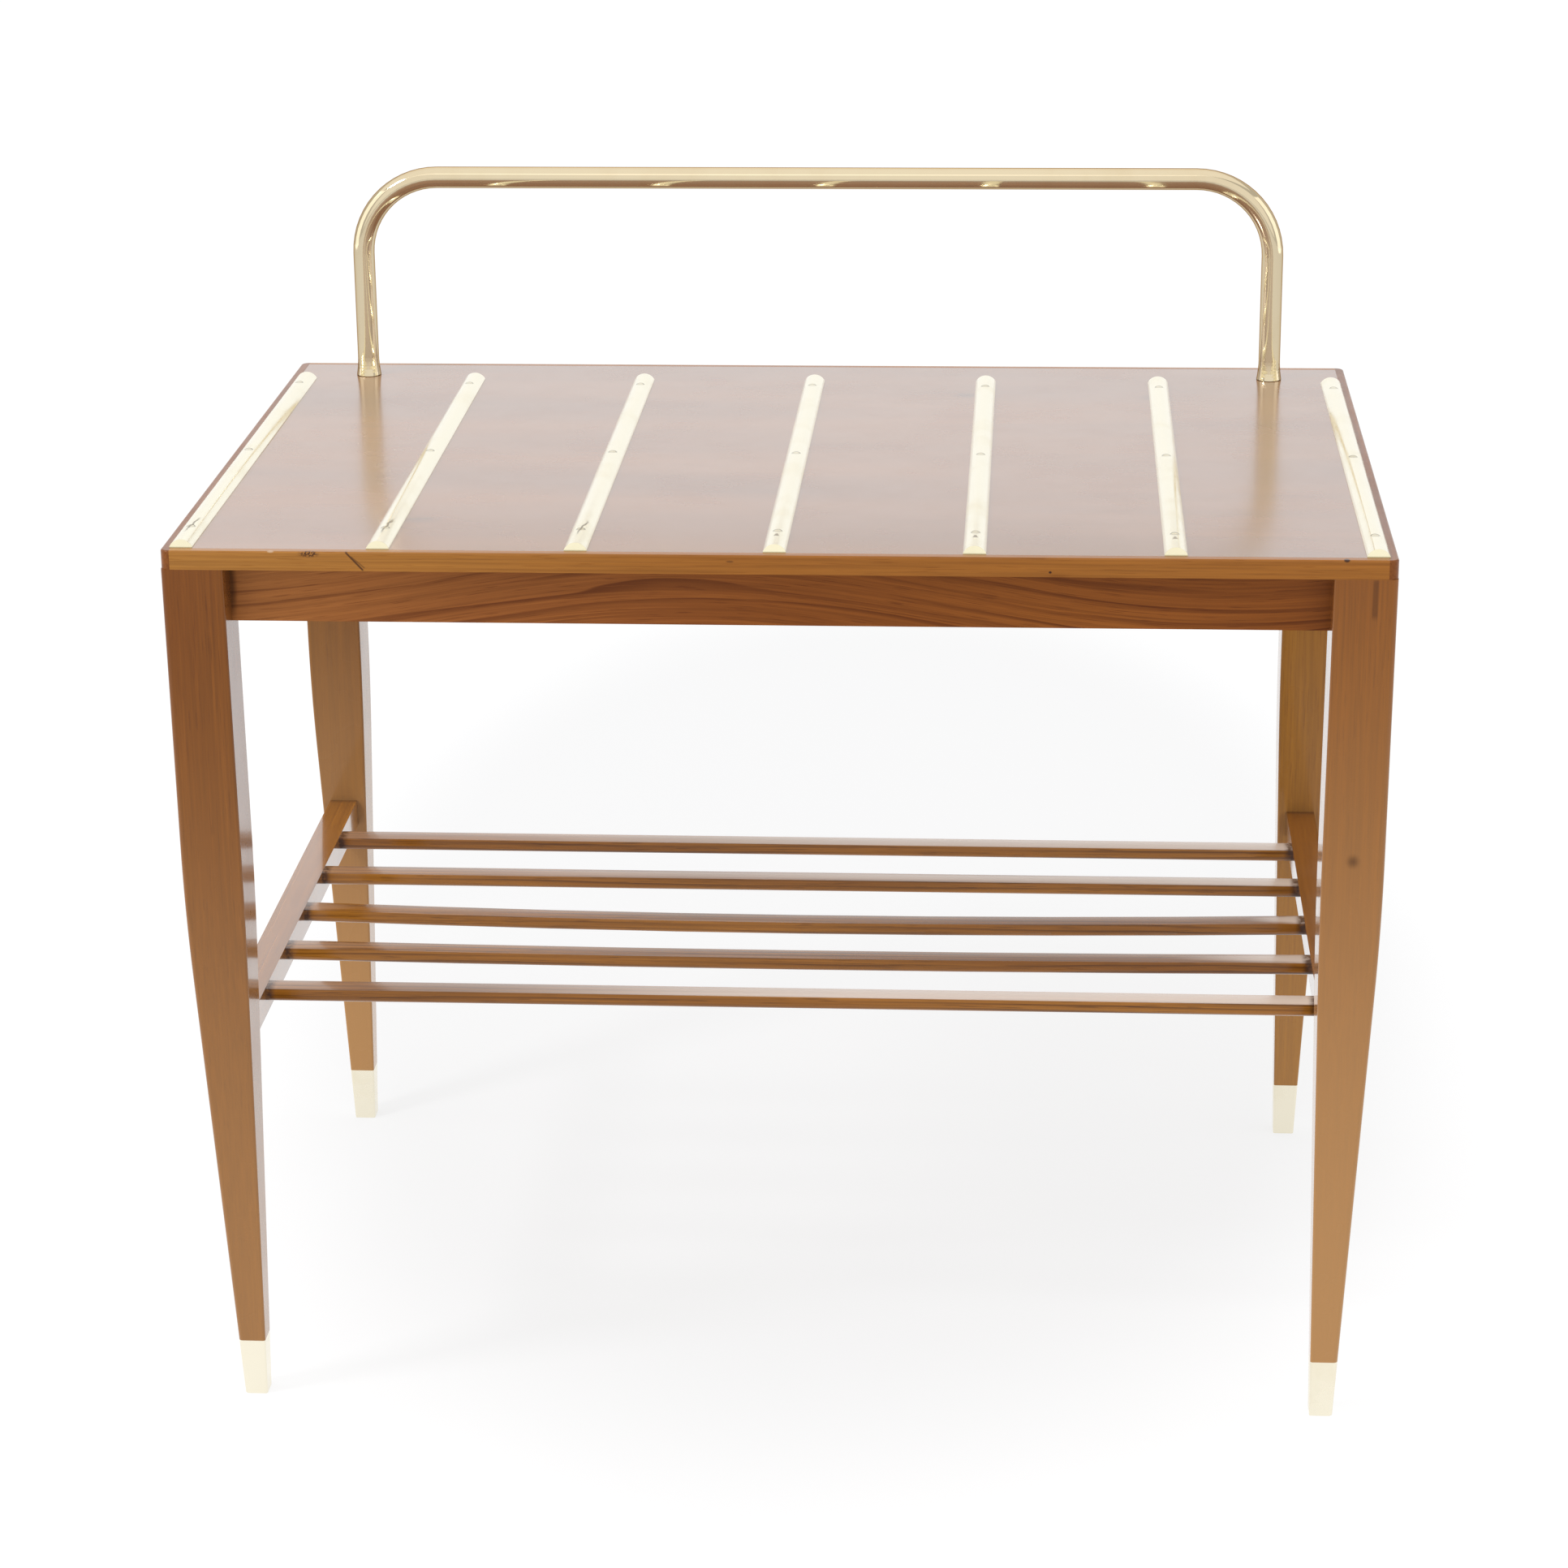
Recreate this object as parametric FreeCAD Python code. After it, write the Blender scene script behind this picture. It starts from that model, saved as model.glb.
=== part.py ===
import FreeCAD, Part
import math
import os

# A walnut luggage rack with brass strips, a brass rail and a slatted shelf.
# Millimetres. X runs left to right, +Y to the rear, +Z up.
# The origin is on the floor, under the middle of the top.

V = FreeCAD.Vector

# Overall sizes
width = 750.0
depth = 500.0
top_height = 582.0

# Top
top_thickness = 12.0
veneer_thickness = 0.8
lipping_thickness = 6.0
corner_radius = 5.5
arris_radius = 1.2

# Brass strips on the top
strip_count = 7
strip_pitch = 121.0
strip_width = 14.0
strip_rise = 5.0
strip_side = 0.5
strip_length = 444.0
strip_front_gap = 7.0
strip_end_slope = 0.8
strip_screw_spacing = 190.0
strip_screw_head_radius = 2.5
strip_screw_shank_radius = 1.25
strip_screw_head_gap = 0.15
strip_screw_grip = 8.0

# Rail
rail_diameter = 15.0
rail_wall = 1.25
rail_half_span = 320.5
rail_rise = 142.0
rail_bend_radius = 54.0
rail_from_rear = 35.0
rail_foot_flare = 1.2
rail_foot_rise = 14.0
rail_foot_gap = 0.4
rail_foot_steps = 6
rail_plug_length = 18.0
rail_screw_radius = 3.0
rail_screw_head_radius = 5.0
rail_screw_head_height = 4.0
rail_screw_grip = 15.0
rail_washer_radius = 6.5
rail_washer_thickness = 1.2
rail_screw_slot = 1.2

# Legs
leg_width = 38.5
foot_width = 15.0
knee_height = 346.0
knee_softness = 45.0
knee_inset = 1.4
foot_inset = 18.5
leg_edge_radius = 1.5
leg_corner_radius = 3.0
leg_least_radius = 0.3
knee_steps = 4

# Sabots
sabot_height = 39.5
sabot_wall = 1.2
sabot_floor = 2.0
sabot_pin_radius = 0.9
sabot_pin_length = 6.0
sabot_pin_height = 29.0

# Aprons
apron_height = 38.0
apron_thickness = 18.0
apron_recess = 20.0
rear_apron_thickness = 20.0
dowel_radius = 3.0
dowel_length = 26.0
dowel_low = 9.0
dowel_spacing = 16.0
dowel_stagger = 8.0

# Shelf
shelf_height = 259.0
stretcher_width = 20.0
stretcher_height = 19.0
stretcher_inner_x = 343.0
stretcher_dowel_radius = 4.0
stretcher_dowel_length = 30.0
slat_count = 5
slat_pitch = 72.5
slat_middle_y = -7.0
slat_width = 15.0
slat_height = 10.0
slat_crown = 0.5
slat_round = 4.5
slat_sags = [0.0, 0.3, 4.5, 2.0, 0.0]
slat_spare = 1.02
tenon_length = 10.0
tenon_width = 9.0
tenon_height = 6.0

# Corner blocks and the screws that hold the top
block_side = 42.0
block_height = 30.0
block_clear_corner = 3.0
top_screw_near = 9.0
top_screw_far = 24.0
top_screw_radius = 1.75
top_screw_head_radius = 3.5
top_screw_head_height = 2.5
top_screw_grip = 8.0

# Worked out
half_width = width / 2
half_depth = depth / 2
leg_top = top_height - top_thickness
rail_y = half_depth - rail_from_rear
rail_top = top_height + rail_rise
rail_bore_radius = rail_diameter / 2 - rail_wall
apron_bottom = leg_top - apron_height
rear_apron_recess = rail_from_rear - rear_apron_thickness / 2
strip_middle_y = -half_depth + strip_front_gap + strip_length / 2
stretcher_middle_x = stretcher_inner_x + stretcher_width / 2
leg_sections = [0.0, sabot_height]
leg_sections += [knee_height + knee_softness * step / knee_steps
                 for step in range(-knee_steps, knee_steps + 1)]
leg_sections.append(leg_top)

parts = {}


def box(x0, x1, y0, y1, z0, z1):
    return Part.makeBox(x1 - x0, y1 - y0, z1 - z0, V(x0, y0, z0))


def post(radius, x, y, z0, z1):
    return Part.makeCylinder(radius, z1 - z0, V(x, y, z0), V(0, 0, 1))


def turned(x, y, points):
    """A solid turned about the upright axis at x, y from (radius, height) points."""
    outline = [V(x + radius, y, z) for radius, z in points]
    outline.append(outline[0])
    return Part.Face(Part.makePolygon(outline)).revolve(V(x, y, 0), V(0, 0, 1), 360)


def drill(tools, names):
    for name in names:
        parts[name] = parts[name].cut(tools)


def group(shapes):
    return Part.makeCompound(shapes)


# ---- top ----

def make_slab():
    """The whole top, with rounded corners and a softened upper edge."""
    slab = box(-half_width, half_width, -half_depth, half_depth, leg_top, top_height)
    corners = [e for e in slab.Edges if abs(e.Vertexes[0].Z - e.Vertexes[1].Z) > 1]
    slab = slab.makeFillet(corner_radius, corners)
    upper = [e for e in slab.Edges if all(abs(v.Z - top_height) < 1e-6 for v in e.Vertexes)]
    return slab.makeFillet(arris_radius, upper)


def make_top():
    slab = make_slab()
    inner_x = half_width - lipping_thickness
    inner_y = half_depth - lipping_thickness
    veneer_bottom = top_height - veneer_thickness
    low, high = leg_top - 1, top_height + 1
    parts["top_board"] = slab.common(box(-inner_x, inner_x, -inner_y, inner_y, low, veneer_bottom))
    parts["top_veneer"] = slab.common(box(-inner_x, inner_x, -inner_y, inner_y, veneer_bottom, high))
    parts["front_lipping"] = slab.common(box(-inner_x, inner_x, -half_depth, -inner_y, low, high))
    parts["rear_lipping"] = slab.common(box(-inner_x, inner_x, inner_y, half_depth, low, high))
    parts["left_lipping"] = slab.common(box(-half_width, -inner_x, -half_depth, half_depth, low, high))
    parts["right_lipping"] = slab.common(box(inner_x, half_width, -half_depth, half_depth, low, high))


# ---- brass strips ----

def strip_profile(x, y, below=0.0):
    """Low half-round section with upright sides, flat side down, in the plane at y."""
    half = strip_width / 2
    shoulder = top_height + strip_side
    left = V(x - half, y, shoulder)
    right = V(x + half, y, shoulder)
    crest = V(x, y, top_height + strip_rise)
    low_left = V(x - half, y, top_height - below)
    low_right = V(x + half, y, top_height - below)
    return Part.Face(Part.Wire([Part.Arc(left, crest, right).toShape(),
                                Part.LineSegment(right, low_right).toShape(),
                                Part.LineSegment(low_right, low_left).toShape(),
                                Part.LineSegment(low_left, left).toShape()]))


def strip_blank(x):
    """One strip with both ends leaning in a little."""
    y0 = strip_middle_y - strip_length / 2
    y1 = strip_middle_y + strip_length / 2
    bar = strip_profile(x, y0 - strip_rise).extrude(V(0, strip_length + 2 * strip_rise, 0))
    z0 = top_height - strip_rise
    z1 = top_height + 2 * strip_rise
    side = [V(x - strip_width, y0 - strip_end_slope, z0),
            V(x - strip_width, y1 + strip_end_slope, z0),
            V(x - strip_width, y1 - 2 * strip_end_slope, z1),
            V(x - strip_width, y0 + 2 * strip_end_slope, z1)]
    side.append(side[0])
    keep = Part.Face(Part.makePolygon(side)).extrude(V(2 * strip_width, 0, 0))
    return bar.common(keep)


def strip_screw(x, y, head_radius):
    """Countersunk screw turned about an upright axis, running on above the strip's crest."""
    shank = strip_screw_shank_radius
    crest = top_height + strip_rise
    tip = top_height - strip_screw_grip
    neck = crest - (head_radius - shank)
    return turned(x, y, [(0, tip), (shank, tip), (shank, neck),
                         (head_radius + strip_rise, crest + strip_rise), (0, crest + strip_rise)])


def make_strips():
    screws = []
    for number in range(strip_count):
        x = (number - (strip_count - 1) / 2) * strip_pitch
        strip = strip_blank(x)
        room = strip_profile(x, -half_depth, top_thickness).extrude(V(0, depth, 0))
        for step in (-1, 0, 1):
            y = strip_middle_y + step * strip_screw_spacing
            strip = strip.cut(strip_screw(x, y, strip_screw_head_radius + strip_screw_head_gap))
            screw = strip_screw(x, y, strip_screw_head_radius).common(room)
            drill([screw], ["top_board", "top_veneer"])
            screws.append(screw)
        parts["brass_strip_%d" % (number + 1)] = strip
    parts["strip_screws"] = group(screws)


# ---- rail ----

def rail_path():
    """Centre line of the rail: post, bend, top run, bend, post."""
    a = rail_half_span
    r = rail_bend_radius
    k = r * (1 - math.sqrt(0.5))
    turn = rail_top - r
    edges = []
    edges.append(Part.LineSegment(V(-a, rail_y, leg_top), V(-a, rail_y, turn)).toShape())
    edges.append(Part.Arc(V(-a, rail_y, turn), V(-a + k, rail_y, rail_top - k),
                          V(-a + r, rail_y, rail_top)).toShape())
    edges.append(Part.LineSegment(V(-a + r, rail_y, rail_top), V(a - r, rail_y, rail_top)).toShape())
    edges.append(Part.Arc(V(a - r, rail_y, rail_top), V(a - k, rail_y, rail_top - k),
                          V(a, rail_y, turn)).toShape())
    edges.append(Part.LineSegment(V(a, rail_y, turn), V(a, rail_y, leg_top)).toShape())
    return Part.Wire(edges)


def rail_bar(radius):
    start = V(-rail_half_span, rail_y, leg_top)
    ring = Part.Wire(Part.Circle(start, V(0, 0, 1), radius).toShape())
    return rail_path().makePipeShell([ring], True, False)


def rail_foot(x):
    """The collar where a post swells out just above the top."""
    outer = rail_diameter / 2
    inner = outer - rail_wall / 2
    start = top_height + rail_foot_gap
    points = [(inner, start)]
    for step in range(rail_foot_steps + 1):
        part = step / rail_foot_steps
        points.append((outer + rail_foot_flare * (1 - part) ** 2, start + rail_foot_rise * part))
    points.append((inner, start + rail_foot_rise))
    return turned(x, rail_y, points)


def make_rail():
    feet = [rail_foot(x) for x in (-rail_half_span, rail_half_span)]
    parts["rail_tube"] = rail_bar(rail_diameter / 2).fuse(feet).cut(rail_bar(rail_bore_radius))
    plugs, screws, washers = [], [], []
    washer_top = apron_bottom + rail_washer_thickness + rail_screw_head_height
    head_top = washer_top - rail_washer_thickness
    for x in (-rail_half_span, rail_half_span):
        shank = post(rail_screw_radius, x, rail_y, head_top, leg_top + rail_screw_grip)
        head = post(rail_screw_head_radius, x, rail_y, apron_bottom, head_top)
        slot = box(x - rail_screw_head_radius, x + rail_screw_head_radius,
                   rail_y - rail_screw_slot / 2, rail_y + rail_screw_slot / 2,
                   apron_bottom, apron_bottom + rail_screw_head_height / 2)
        plug = post(rail_bore_radius, x, rail_y, leg_top, leg_top + rail_plug_length)
        washer = post(rail_washer_radius, x, rail_y, head_top, washer_top)
        pocket = post(rail_washer_radius, x, rail_y, apron_bottom, washer_top)
        screws.append(head.fuse(shank).cut(slot))
        plugs.append(plug.cut(shank))
        washers.append(washer.cut(shank))
        parts["rear_apron"] = parts["rear_apron"].cut(pocket).cut(shank)
        hole = post(rail_diameter / 2, x, rail_y, leg_top, top_height)
        drill([hole], ["top_board", "top_veneer"])
    parts["rail_plugs"] = group(plugs)
    parts["rail_screws"] = group(screws)
    parts["rail_washers"] = group(washers)


# ---- legs and sabots ----

def knee_blend(z, top_value, knee_value, foot_value):
    """Two straight tapers that meet at the knee in a soft curve."""
    upper = (top_value - knee_value) / (leg_top - knee_height)
    lower = (knee_value - foot_value) / knee_height
    rise = z - knee_height
    if rise >= knee_softness:
        return knee_value + upper * rise
    if rise <= -knee_softness:
        return knee_value + lower * rise
    bend = (upper - lower) / (4 * knee_softness)
    return knee_value + (upper + lower) / 2 * rise + bend * (rise ** 2 + knee_softness ** 2)


def rounded_square(z, shrink):
    """Leg section in the corner +X, +Y: its outer corner has the large radius."""
    inset = knee_blend(z, 0.0, knee_inset, foot_inset) + shrink
    side = knee_blend(z, leg_width, leg_width, foot_width) - 2 * shrink
    x1 = half_width - inset
    y1 = half_depth - inset
    x0 = x1 - side
    y0 = y1 - side
    corners = [(x0, y0, 1, 1, leg_edge_radius), (x1, y0, -1, 1, leg_edge_radius),
               (x1, y1, -1, -1, leg_corner_radius), (x0, y1, 1, -1, leg_edge_radius)]
    edges = []
    ends = []
    for number, (x, y, sx, sy, radius) in enumerate(corners):
        r = max(radius - shrink, leg_least_radius)
        k = r * (1 - math.sqrt(0.5))
        along_x = V(x + sx * r, y, z)
        along_y = V(x, y + sy * r, z)
        first, last = (along_y, along_x) if number % 2 == 0 else (along_x, along_y)
        ends.append((first, V(x + sx * k, y + sy * k, z), last))
    for number, (first, middle, last) in enumerate(ends):
        edges.append(Part.Arc(first, middle, last).toShape())
        following = ends[(number + 1) % len(ends)][0]
        edges.append(Part.LineSegment(last, following).toShape())
    return Part.Wire(edges)


def leg_blank(shrink=0.0):
    return Part.makeLoft([rounded_square(z, shrink) for z in leg_sections], True, True)


def mirrored(shape, left, front):
    if left:
        shape = shape.mirror(V(0, 0, 0), V(1, 0, 0))
    if front:
        shape = shape.mirror(V(0, 0, 0), V(0, 1, 0))
    return shape


def make_legs():
    blank = leg_blank()
    core = leg_blank(sabot_wall)
    room = box(0, width, 0, depth, sabot_height, top_height)
    tip_room = box(0, width, 0, depth, sabot_floor, sabot_height)
    cap_room = box(0, width, 0, depth, 0, sabot_height)
    tip = core.common(tip_room)
    leg = blank.common(room).fuse(tip)
    sabot = blank.common(cap_room).cut(tip)
    inner_x = half_width - knee_blend(sabot_pin_height, 0.0, knee_inset, foot_inset)
    inner_x -= knee_blend(sabot_pin_height, leg_width, leg_width, foot_width)
    pin_y = half_depth - knee_blend(sabot_pin_height, 0.0, knee_inset, foot_inset) - foot_width / 2
    pin = Part.makeCylinder(sabot_pin_radius, sabot_pin_length,
                            V(inner_x, pin_y, sabot_pin_height), V(1, 0, 0))
    pin = pin.common(blank)
    leg = leg.cut(pin)
    sabot = sabot.cut(pin)
    pins = []
    for row, front in (("front", True), ("rear", False)):
        for side, left in (("left", True), ("right", False)):
            parts["%s_%s_leg" % (row, side)] = mirrored(leg, left, front)
            parts["%s_%s_sabot" % (row, side)] = mirrored(sabot, left, front)
            pins.append(mirrored(pin, left, front))
    parts["sabot_pins"] = group(pins)


def leg_names():
    return ["%s_%s_leg" % (row, side) for row in ("front", "rear") for side in ("left", "right")]


def all_legs():
    return [parts[name] for name in leg_names()]


# ---- aprons ----

def make_aprons():
    reach_x = half_width - leg_width
    reach_y = half_depth - leg_width
    front = -half_depth + apron_recess
    rear = half_depth - rear_apron_recess
    side = half_width - apron_recess
    blanks = {
        "front_apron": box(-reach_x, reach_x, front, front + apron_thickness, apron_bottom, leg_top),
        "rear_apron": box(-reach_x, reach_x, rear - rear_apron_thickness, rear, apron_bottom, leg_top),
        "left_apron": box(-side, -side + apron_thickness, -reach_y, reach_y, apron_bottom, leg_top),
        "right_apron": box(side - apron_thickness, side, -reach_y, reach_y, apron_bottom, leg_top),
    }
    for name, blank in blanks.items():
        parts[name] = blank.cut(all_legs())


def make_apron_dowels():
    """Two dowels at each end of each apron, at staggered heights inside the legs."""
    dowels = []
    low = apron_bottom + dowel_low
    long_heights = (low, low + dowel_spacing)
    side_heights = (low + dowel_stagger, low + dowel_stagger + dowel_spacing)
    seam_x = half_width - leg_width
    seam_y = half_depth - leg_width
    front_y = -half_depth + apron_recess + apron_thickness / 2
    rear_y = seam_y + (half_depth - rear_apron_recess - seam_y) / 2
    side_x = half_width - apron_recess - apron_thickness / 2
    for sign in (-1, 1):
        for y in (front_y, rear_y):
            for z in long_heights:
                start = V(sign * seam_x - dowel_length / 2, y, z)
                dowels.append(Part.makeCylinder(dowel_radius, dowel_length, start, V(1, 0, 0)))
        for y in (-seam_y, seam_y):
            for z in side_heights:
                start = V(sign * side_x, y - dowel_length / 2, z)
                dowels.append(Part.makeCylinder(dowel_radius, dowel_length, start, V(0, 1, 0)))
    drill(dowels, ["front_apron", "rear_apron", "left_apron", "right_apron"] + leg_names())
    parts["apron_dowels"] = group(dowels)


# ---- shelf ----

def make_stretchers():
    reach = half_depth - leg_width / 2
    low = shelf_height - stretcher_height
    for name, sign in (("left_stretcher", -1), ("right_stretcher", 1)):
        near = sign * stretcher_inner_x
        far = sign * (stretcher_inner_x + stretcher_width)
        bar = box(min(near, far), max(near, far), -reach, reach, low, shelf_height)
        cut = bar.cut(all_legs())
        parts[name] = max(cut.Solids, key=lambda solid: solid.BoundBox.YLength)
    dowels = []
    middle_z = shelf_height - stretcher_height / 2
    seam_y = half_depth - leg_width
    for sign in (-1, 1):
        for end in (-1, 1):
            start = V(sign * stretcher_middle_x, end * seam_y - stretcher_dowel_length / 2, middle_z)
            dowels.append(Part.makeCylinder(stretcher_dowel_radius, stretcher_dowel_length,
                                            start, V(0, 1, 0)))
    drill(dowels, ["left_stretcher", "right_stretcher"] + leg_names())
    parts["stretcher_dowels"] = group(dowels)


def slat_section(x, y, top):
    """Crowned top with sharp edges, short sides and a well rounded underside."""
    half = slat_width / 2
    k = slat_round * (1 - math.sqrt(0.5))
    low = top - slat_height
    shoulder = top - slat_crown
    p = [V(x, y - half, shoulder), V(x, y, top), V(x, y + half, shoulder),
         V(x, y + half, low + slat_round), V(x, y + half - k, low + k),
         V(x, y + half - slat_round, low), V(x, y - half + slat_round, low),
         V(x, y - half + k, low + k), V(x, y - half, low + slat_round)]
    return Part.Face(Part.Wire([
        Part.Arc(p[0], p[1], p[2]).toShape(),
        Part.LineSegment(p[2], p[3]).toShape(),
        Part.Arc(p[3], p[4], p[5]).toShape(),
        Part.LineSegment(p[5], p[6]).toShape(),
        Part.Arc(p[6], p[7], p[8]).toShape(),
        Part.LineSegment(p[8], p[0]).toShape(),
    ]))


def slat_bar(y, sag):
    """A slat between the stretchers, straight or bowed down at mid span."""
    span = 2 * stretcher_inner_x
    if sag == 0:
        return slat_section(-stretcher_inner_x, y, shelf_height).extrude(V(span, 0, 0))
    radius = span ** 2 / (8 * sag)
    angle = math.degrees(2 * math.asin(span * slat_spare / 2 / radius))
    centre = V(0, y, shelf_height - sag + radius)
    section = slat_section(0, y, shelf_height - sag)
    section.rotate(centre, V(0, 1, 0), angle / 2)
    bar = section.revolve(centre, V(0, 1, 0), -angle)
    slack = 3 * slat_height
    return bar.common(box(-stretcher_inner_x, stretcher_inner_x, y - slat_width, y + slat_width,
                          shelf_height - slack, shelf_height + slack))


def make_slats():
    middle_z = shelf_height - slat_height / 2
    for number in range(slat_count):
        y = slat_middle_y + (number - (slat_count - 1) / 2) * slat_pitch
        pieces = [slat_bar(y, slat_sags[slat_count - 1 - number])]
        for sign in (-1, 1):
            near = sign * stretcher_inner_x
            far = sign * (stretcher_inner_x + tenon_length)
            tenon = box(min(near, far), max(near, far), y - tenon_width / 2, y + tenon_width / 2,
                        middle_z - tenon_height / 2, middle_z + tenon_height / 2)
            pieces.append(tenon)
            drill([tenon], ["left_stretcher" if sign < 0 else "right_stretcher"])
        parts["shelf_slat_%d" % (number + 1)] = pieces[0].fuse(pieces[1:])


# ---- corner blocks ----

def make_corner_blocks():
    screws = []
    side_face = half_width - apron_recess - apron_thickness
    front_face = half_depth - apron_recess - apron_thickness
    rear_face = half_depth - rear_apron_recess - rear_apron_thickness
    low = leg_top - block_height
    for row, sy, face_y in (("front", -1, front_face), ("rear", 1, rear_face)):
        for side, sx in (("left", -1), ("right", 1)):
            plan = [(0, block_clear_corner), (block_clear_corner, 0), (block_side, 0), (0, block_side)]
            points = [V(sx * (side_face - a), sy * (face_y - b), low) for a, b in plan]
            points.append(points[0])
            block = Part.Face(Part.makePolygon(points)).extrude(V(0, 0, block_height))
            name = "%s_%s_corner_block" % (row, side)
            parts[name] = block
            for a, b in ((top_screw_near, top_screw_far), (top_screw_far, top_screw_near)):
                screw = top_screw(sx * (side_face - a), sy * (face_y - b), low)
                drill([screw], [name, "top_board"])
                screws.append(screw)
    parts["top_screws"] = group(screws)


def top_screw(x, y, low):
    tip = leg_top + top_screw_grip
    return turned(x, y, [(0, low), (top_screw_head_radius, low),
                         (top_screw_radius, low + top_screw_head_height),
                         (top_screw_radius, tip), (0, tip)])


make_top()
make_legs()
make_aprons()
make_apron_dowels()
make_strips()
make_rail()
make_stretchers()
make_slats()
make_corner_blocks()

os.makedirs("parts", exist_ok=True)
for name, shape in parts.items():
    solids = shape.Solids
    if not solids or not shape.isValid():
        raise RuntimeError("%s is not a valid solid" % name)
    result = solids[0] if len(solids) == 1 else Part.makeCompound(solids)
    result.exportStep("parts/%s.step" % name)
    print("%-28s solids %2d  volume %10.0f" % (name, len(solids), shape.Volume))
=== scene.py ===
import math

import bpy
from mathutils import Matrix, Vector


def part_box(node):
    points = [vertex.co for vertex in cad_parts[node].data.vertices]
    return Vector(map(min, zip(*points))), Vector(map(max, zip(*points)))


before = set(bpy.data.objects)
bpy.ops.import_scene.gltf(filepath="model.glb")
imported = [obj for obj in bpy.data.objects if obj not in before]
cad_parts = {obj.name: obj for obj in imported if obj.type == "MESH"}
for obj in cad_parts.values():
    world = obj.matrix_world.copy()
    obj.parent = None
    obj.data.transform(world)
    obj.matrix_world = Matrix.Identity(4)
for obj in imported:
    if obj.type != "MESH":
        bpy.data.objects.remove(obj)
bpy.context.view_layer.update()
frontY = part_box("front_lipping")[0][1]
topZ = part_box("top_veneer")[1][2]
print("frame loaded:", len(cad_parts), "nodes")


camera = {
    "place": (0.158559, -2.582472, 1.247514),
    "down": 19.137,    # degrees below level
    "turn": -3.766,    # degrees to the right of straight ahead
    "tilt": 0.559,     # degrees of roll
    "lens": 92.423,
    "sensor": 36.0,
}


def setUpCamera(c):
    data = bpy.data.cameras.new("viewCamera")
    data.lens = c["lens"]
    data.sensor_width = c["sensor"]
    data.clip_end = 50
    data.dof.use_dof = False
    obj = bpy.data.objects.new("viewCamera", data)
    bpy.context.scene.collection.objects.link(obj)
    down, turn, tilt = (math.radians(c[k]) for k in ("down", "turn", "tilt"))
    ahead = Vector((math.sin(turn) * math.cos(down), math.cos(turn) * math.cos(down), -math.sin(down)))
    right = Vector((math.cos(turn), -math.sin(turn), 0))
    below = ahead.cross(right)
    across = math.cos(tilt) * right + math.sin(tilt) * below
    under = -math.sin(tilt) * right + math.cos(tilt) * below
    turned = Matrix((across, -under, -ahead)).transposed()
    obj.matrix_world = Matrix.Translation(c["place"]) @ turned.to_4x4()
    bpy.context.scene.camera = obj


setUpCamera(camera)
print("camera ready")


# small node helpers, so the materials below stay short

def newMaterial(name):
    mat = bpy.data.materials.new(name)
    mat.use_nodes = True
    tree = mat.node_tree
    return mat, tree, tree.nodes["Principled BSDF"]


def node(tree, kind, **settings):
    n = tree.nodes.new(kind)
    for key, value in settings.items():
        setattr(n, key, value)
    return n


def plug(tree, socket, value):
    if isinstance(value, (int, float)):
        socket.default_value = value
    elif isinstance(value, tuple):
        socket.default_value = (*value, 1) if socket.type == "RGBA" else value
    else:
        tree.links.new(value, socket)


def objectPlace(tree, scale=(1, 1, 1), shift=(0, 0, 0)):
    place = node(tree, "ShaderNodeTexCoord")
    mapping = node(tree, "ShaderNodeMapping")
    mapping.inputs["Scale"].default_value = scale
    mapping.inputs["Location"].default_value = shift
    tree.links.new(place.outputs["Object"], mapping.inputs["Vector"])
    return mapping.outputs["Vector"]


def split(tree, vector):
    n = node(tree, "ShaderNodeSeparateXYZ")
    tree.links.new(vector, n.inputs["Vector"])
    return n.outputs["X"], n.outputs["Y"], n.outputs["Z"]


def join(tree, x, y, z):
    n = node(tree, "ShaderNodeCombineXYZ")
    for socket, value in zip(n.inputs, (x, y, z)):
        plug(tree, socket, value)
    return n.outputs["Vector"]


def noise(tree, vector, scale, detail=2.0, roughness=0.5, distortion=0.0):
    n = node(tree, "ShaderNodeTexNoise")
    n.inputs["Scale"].default_value = scale
    n.inputs["Detail"].default_value = detail
    n.inputs["Roughness"].default_value = roughness
    n.inputs["Distortion"].default_value = distortion
    tree.links.new(vector, n.inputs["Vector"])
    return n.outputs["Fac"]


def maths(tree, operation, a, b=None, clamp=False):
    n = node(tree, "ShaderNodeMath", operation=operation, use_clamp=clamp)
    plug(tree, n.inputs[0], a)
    if b is not None:
        plug(tree, n.inputs[1], b)
    return n.outputs["Value"]


def times(tree, a, b):
    return maths(tree, "MULTIPLY", a, b)


def plus(tree, a, b):
    return maths(tree, "ADD", a, b)


def spread(tree, value, low, high, to0=0.0, to1=1.0):
    n = node(tree, "ShaderNodeMapRange", interpolation_type="SMOOTHSTEP")
    tree.links.new(value, n.inputs["Value"])
    n.inputs["From Min"].default_value = low
    n.inputs["From Max"].default_value = high
    n.inputs["To Min"].default_value = to0
    n.inputs["To Max"].default_value = to1
    return n.outputs["Result"]


def ramp(tree, value, stops):
    n = node(tree, "ShaderNodeValToRGB")
    tree.links.new(value, n.inputs["Fac"])
    points = n.color_ramp.elements
    while len(points) < len(stops):
        points.new(0.5)
    for point, (place, colour) in zip(points, stops):
        point.position = place
        point.color = (*colour, 1)
    return n.outputs["Color"]


def mixColour(tree, fac, a, b, blend="MIX"):
    n = node(tree, "ShaderNodeMix", data_type="RGBA", blend_type=blend)
    plug(tree, n.inputs[0], fac)
    plug(tree, n.inputs[6], a)
    plug(tree, n.inputs[7], b)
    return n.outputs[2]


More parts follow.
